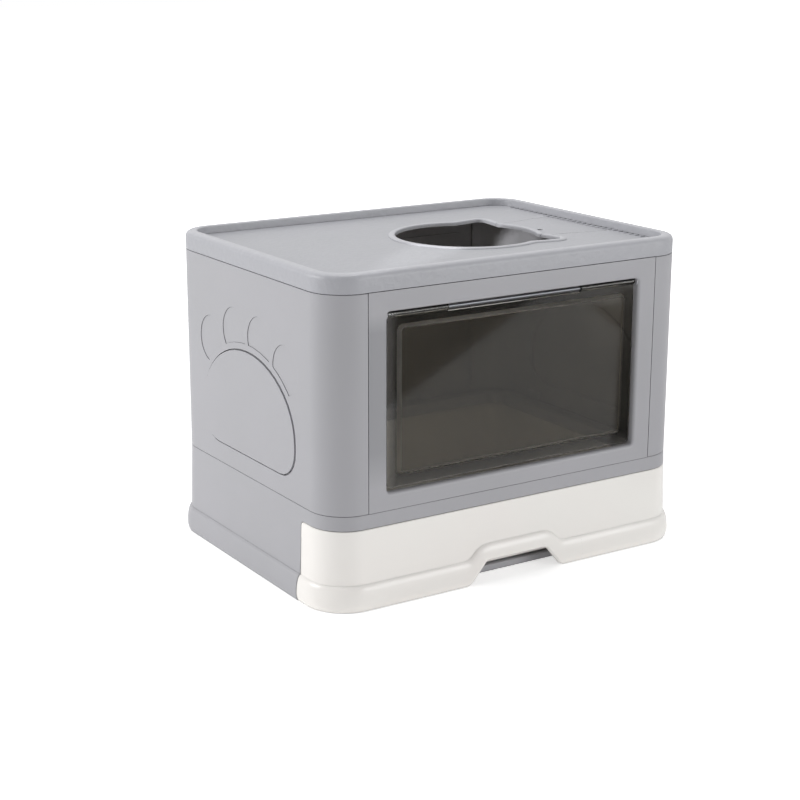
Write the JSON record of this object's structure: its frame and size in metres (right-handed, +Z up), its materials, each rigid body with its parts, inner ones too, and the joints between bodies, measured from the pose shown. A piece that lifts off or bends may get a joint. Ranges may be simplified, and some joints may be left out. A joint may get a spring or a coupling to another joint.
{
  "type": "drawer litter box",
  "caption": "Covered cat litter box with a pull-out litter drawer, a swinging smoked front flap and a lift-off lid with a cat-head top entry.",
  "frame": {"origin": "middle of the footprint on the floor", "axes": "+Z up, front with the flap and drawer towards -Y, +X to the right seen from the front"},
  "size_m": [0.5, 0.38, 0.37],
  "materials": {
    "grey_plastic": "satin moulded polypropylene, light cool grey",
    "white_plastic": "glossy moulded polypropylene, warm white",
    "smoked_clear_plastic": "glossy see-through brownish smoke plastic",
    "steel": "drawn steel rod"
  },
  "bodies": {
    "box": {"base_frame": "grey_plastic", "left_side_shell": "grey_plastic", "right_side_shell": "grey_plastic", "front_panel": "grey_plastic", "rear_panel": "grey_plastic", "flap_rod": "steel"},
    "drawer_body": {"drawer": "white_plastic"},
    "flap": {"flap_door": "smoked_clear_plastic"},
    "lid_body": {"lid": "grey_plastic", "hatch_pin": "steel"},
    "hatch": {"lid_hatch": "grey_plastic"}
  },
  "joints": [
    {"name": "drawer_slide", "type": "slide", "parent": "box", "child": "drawer_body", "axis": [0, -1, 0], "range_m": [0, 0.365]},
    {"name": "flap_swing", "type": "hinge", "parent": "box", "child": "flap", "pos_m": [0, -0.1745, 0.3218], "axis": [1, 0, 0], "range_deg": [-80, 80]},
    {"name": "lid_lift", "type": "slide", "parent": "box", "child": "lid_body", "axis": [0, 0, 1], "range_m": [0, 0.12]},
    {"name": "hatch_swing", "type": "hinge", "parent": "lid_body", "child": "hatch", "pos_m": [0.216, -0.006, 0.3582], "axis": [0, 1, 0], "range_deg": [0, 95]}
  ]
}
